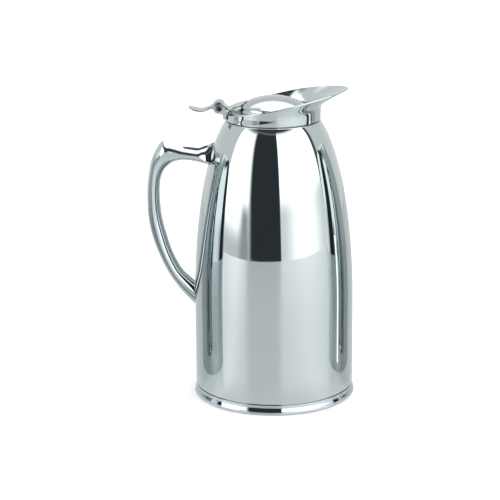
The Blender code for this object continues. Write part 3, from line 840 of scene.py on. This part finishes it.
# Soft panels round the jug, seen from it: azimuth 0 is the camera's side and 90 the spout's side.
# Each is (azimuth from, its lean, azimuth to, its lean, elevation from, to, softness across, up,
# radiance), in degrees; a lean is the change of azimuth per degree of elevation. A later panel
# covers the earlier ones.
PANELS = [
    (-75, 0.0, 62, 0.0, 48, 90, 18, 5, (0.06, 0.065, 0.075)),
    (-200, 0.0, 200, 0.0, 66, 100, 1, 4, (2.2, 2.2, 2.2)),
    (-220, 0.0, -135, 0.0, 42, 100, 12, 4, (2.2, 2.2, 2.2)),
    (135, 0.0, 220, 0.0, 42, 100, 12, 4, (2.2, 2.2, 2.2)),
    (-36, -0.15, 11, -0.05, -90, 49, 1.5, 1.5, (0.042, 0.047, 0.056)),
    (-85, 0.0, -39, -0.16, -1.5, 44, 2.0, 4, (2.6, 2.6, 2.6)),
    (-52, 0.0, -37, -0.16, -90, 5, 6.0, 3.5, (0.50, 0.51, 0.52)),
    (11, -0.05, 88, 0.0, -12, 49, 0.8, 5, (1.1, 1.12, 1.13)),
    (28, 0.0, 71, 0.0, -20, 30, 15.0, 5, (2.1, 2.1, 2.1)),
    (11, -0.05, 88, 0.0, 8, 49, 0.8, 5, (2.6, 2.6, 2.6)),
    (87, 0.0, 94, 0.0, -10, 56, 1.0, 4, (0.10, 0.11, 0.12)),
]
SURROUND = (0.90, 0.92, 0.915)    # radiance where there is no panel
DEGREES = 180.0 / math.pi


def azimuth_of(nodes, x, y):
    """Azimuth of a direction in degrees, counted as the panels are."""
    around = nodes.math('ARCTAN2', x, nodes.math('MULTIPLY', y, -1.0))
    return nodes.math('MULTIPLY', around, DEGREES)


def make_world():
    world = bpy.data.worlds.new("studio")
    bpy.context.scene.world = world
    world.use_nodes = True
    nodes = Nodes(world.node_tree)
    direction = nodes.add('ShaderNodeTexCoord').outputs["Generated"]
    split = nodes.add('ShaderNodeSeparateXYZ')
    nodes.link(direction, split.inputs[0])
    x, y, z = split.outputs
    azimuth = azimuth_of(nodes, x, y)
    elevation = nodes.math('MULTIPLY', nodes.math('ARCSINE', z), DEGREES)
    color = (*SURROUND, 1.0)
    for az_low, low_lean, az_high, high_lean, el_low, el_high, az_soft, el_soft, radiance in PANELS:
        left = nodes.math('MULTIPLY_ADD', elevation, -low_lean, azimuth)
        right = nodes.math('MULTIPLY_ADD', elevation, -high_lean, azimuth)
        mask = nodes.ramp(left, az_low - az_soft, az_low + az_soft)
        for edge in ((right, az_high - az_soft, az_high + az_soft, 1.0, 0.0),
                     (elevation, el_low - el_soft, el_low + el_soft),
                     (elevation, el_high - el_soft, el_high + el_soft, 1.0, 0.0)):
            mask = nodes.math('MULTIPLY', mask, nodes.ramp(*edge))
        color = nodes.mix(mask, color, (*radiance, 1.0))
    background = world.node_tree.nodes["Background"]
    nodes.link(color, background.inputs["Color"])


def studio_material(name, color=(0.8, 0.8, 0.8), roughness=0.5, specular=0.5, emission=0.0):
    material = bpy.data.materials.new(name)
    material.use_nodes = True
    shader = material.node_tree.nodes["Principled BSDF"]
    shader.inputs["Base Color"].default_value = (*color, 1.0)
    shader.inputs["Roughness"].default_value = roughness
    shader.inputs["Specular IOR Level"].default_value = specular
    shader.inputs["Emission Color"].default_value = (1.0, 1.0, 1.0, 1.0)
    shader.inputs["Emission Strength"].default_value = emission
    return material


def show_in_reflections_only(obj):
    obj.visible_camera = False
    obj.visible_diffuse = False
    obj.visible_shadow = False


def make_plane(name, radius, z, material):
    bm = bmesh.new()
    bmesh.ops.create_circle(bm, cap_ends=True, segments=96, radius=radius)
    mesh = bpy.data.meshes.new(name)
    bm.to_mesh(mesh)
    bm.free()
    plane = bpy.data.objects.new(name, mesh)
    plane.location.z = z
    bpy.context.scene.collection.objects.link(plane)
    paint(plane, material)
    return plane


def add_sheen(table):
    """Brighter wedges on the table below the soft panels."""
    tree = table.data.materials[0].node_tree
    nodes = Nodes(tree)
    split = nodes.add('ShaderNodeSeparateXYZ')
    nodes.link(nodes.add('ShaderNodeNewGeometry').outputs["Position"], split.inputs[0])
    x, y, _ = split.outputs
    azimuth = azimuth_of(nodes, x, y)
    glow = 0.0
    for centre, flat, half, radiance in TABLE_SHEEN:
        off = nodes.math('ABSOLUTE', nodes.math('SUBTRACT', azimuth, centre))
        glow = nodes.math('ADD', glow, nodes.ramp(off, flat, half, radiance, 0.0))
    nodes.link(glow, tree.nodes["Principled BSDF"].inputs["Emission Strength"])


def make_backdrop():
    """White wall round the floor, seen by the camera only."""
    inner, outer = FLOOR_R - 0.2, FLOOR_R - 0.1
    low, high = -0.01, BACKDROP_HEIGHT
    outline = [(inner, low), (outer, low), (outer, high), (inner, high)]
    wall = turned("backdrop", outline, segments=96)
    paint(wall, studio_material("backdrop", emission=1.0))
    wall.visible_glossy = False
    wall.visible_diffuse = False
    wall.visible_shadow = False


def make_light_strip():
    """Slim upright light on the right-hand reflector, on the side that faces the jug."""
    turn = math.radians(STRIP_AZIMUTH)
    centre_x = REFLECTOR_X + (BODY_R + STRIP_GAP) * math.sin(turn)
    centre_y = REFLECTOR_Y - (BODY_R + STRIP_GAP) * math.cos(turn)
    across = Vector((math.cos(turn), math.sin(turn))) * STRIP_HALF[0]
    back = Vector((math.sin(turn), -math.cos(turn))) * STRIP_HALF[1]
    outline = [(centre_x + u * across.x + v * back.x, centre_y + u * across.y + v * back.y)
               for u, v in ((-1, -1), (1, -1), (1, 1), (-1, 1))]
    strip = prism("light_strip", outline, *STRIP_Z, "Z")
    paint(strip, studio_material("light_strip", emission=STRIP_RADIANCE))
    show_in_reflections_only(strip)


def make_studio(side_material):
    make_world()
    white = studio_material("floor", color=(0.90, 0.90, 0.90), roughness=0.9, specular=0.0,
                            emission=0.15)
    floor = make_plane("floor", FLOOR_R, 0.0, white)
    floor.visible_glossy = False
    make_backdrop()
    pale = studio_material("table", color=(0.80, 0.82, 0.825), roughness=0.35, specular=0.30)
    table = make_plane("table", 1.0, TABLE_Z, pale)
    add_sheen(table)
    table.scale = (*TABLE_HALF, 1.0)
    table.location.x = TABLE_X
    show_in_reflections_only(table)
    outline = [(0.0, 0.001)] + shell_curve(0.001, NECK_Z, 40) + [(0.0, NECK_Z)]
    for side in (-1, 1):
        reflector = turned("side_reflector", outline, segments=96)
        reflector.location = (side * REFLECTOR_X, side * REFLECTOR_Y, 0.0)
        reflector.scale.z = REFLECTOR_STRETCH[side]
        paint(reflector, side_material)
        show_in_reflections_only(reflector)
    make_light_strip()


def make_camera():
    pitch, roll, yaw = CAMERA_PITCH, CAMERA_ROLL, CAMERA_YAW
    right = Vector((math.cos(yaw), math.sin(yaw), 0.0))
    ahead = Vector((-math.sin(yaw), math.cos(yaw), 0.0))
    forward = ahead * math.cos(pitch) - Vector((0.0, 0.0, math.sin(pitch)))
    up = Vector((0.0, 0.0, math.cos(pitch))) + ahead * math.sin(pitch)
    camera_right = right * math.cos(roll) + up * math.sin(roll)
    camera_up = up * math.cos(roll) - right * math.sin(roll)
    data = bpy.data.cameras.new("camera")
    data.lens = CAMERA_LENS
    data.sensor_width = 36.0
    data.clip_end = 50.0
    camera = bpy.data.objects.new("camera", data)
    camera.matrix_world = Matrix.Translation((0.0, -CAMERA_DISTANCE, CAMERA_HEIGHT)) @ Matrix((
        (camera_right.x, camera_up.x, -forward.x, 0.0),
        (camera_right.y, camera_up.y, -forward.y, 0.0),
        (camera_right.z, camera_up.z, -forward.z, 0.0),
        (0.0, 0.0, 0.0, 1.0)))
    bpy.context.scene.collection.objects.link(camera)
    bpy.context.scene.camera = camera


# ---------------------------------------------------------------- assembly
def place(piece, body, slot, *nodes):
    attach(piece, body)
    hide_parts(*nodes)


body_steel = steel("body_steel", (0.525, 0.572, 0.58), 0.020, 0.050)
foot_steel = steel("foot_steel", (0.50, 0.55, 0.565), 0.030, 0.060)
collar_steel = steel("collar_steel", (0.53, 0.58, 0.595), 0.020, 0.050, satin_inside=0.15)
handle_steel = steel("handle_steel", (0.52, 0.57, 0.585), 0.030, 0.080, (260.0, 40.0, 40.0))
hinge_steel = steel("hinge_steel", (0.52, 0.57, 0.585), 0.040, 0.090, (300.0, 60.0, 60.0))
lever_steel = steel("lever_steel", (0.42, 0.44, 0.46), 0.130, 0.220, (60.0, 400.0, 60.0))
pin_steel = steel("pin_steel", (0.17, 0.18, 0.20), 0.160, 0.260, (300.0, 300.0, 300.0))
# paints shade into the dimples of the rivet heads
paint_dimple_shade(pin_steel)
lid_steel = steel("lid_steel", (0.45, 0.49, 0.51), 0.020, 0.050, (120.0, 120.0, 120.0))
inner_steel = steel("inner_steel", (0.46, 0.49, 0.50), 0.140, 0.260, (8.0, 8.0, 1400.0), 0.000004)
base_steel = steel("base_steel", (0.44, 0.47, 0.48), 0.180, 0.320, (300.0, 300.0, 300.0), 0.000004)
silicone = matte("silicone", (0.72, 0.73, 0.72), 0.60, 900.0, 0.00002)
copper = matte("copper", (0.45, 0.22, 0.14), 0.40, 600.0, 0.00001)

place(make_body(body_steel), "root", "body_steel", "outer_shell")
place(make_foot(foot_steel), "root", "foot_steel", "foot_ring")
place(make_collar(collar_steel), "root", "collar_steel", "spout_collar")
place(make_handle(handle_steel), "root", "handle_steel", "handle")
place(make_ears(hinge_steel), "root", "hinge_steel", "hinge_bracket")
place(make_pin(pin_steel), "root", "hinge_steel", "hinge_pin")
place(make_flask(inner_steel), "root", "inner_steel", "inner_flask")
place(make_base_cover(base_steel), "root", "base_steel", "base_cover")
place(make_lid(lid_steel), "lid", "lid_steel", "lid_top")
place(make_liner(inner_steel), "lid", "inner_steel", "lid_liner")
place(make_gasket(silicone), "lid", "silicone", "lid_gasket")
place(make_lever(lever_steel), "lid", "lever_steel", "lid_lever")
for hidden in ("outer_bottom", "neck_ring", "getter_can"):
    paint(frame["nodes"][hidden], inner_steel)
paint(frame["nodes"]["pinch_off_tube"], copper)

make_studio(body_steel)
make_camera()
bpy.context.scene.view_settings.view_transform = 'Standard'
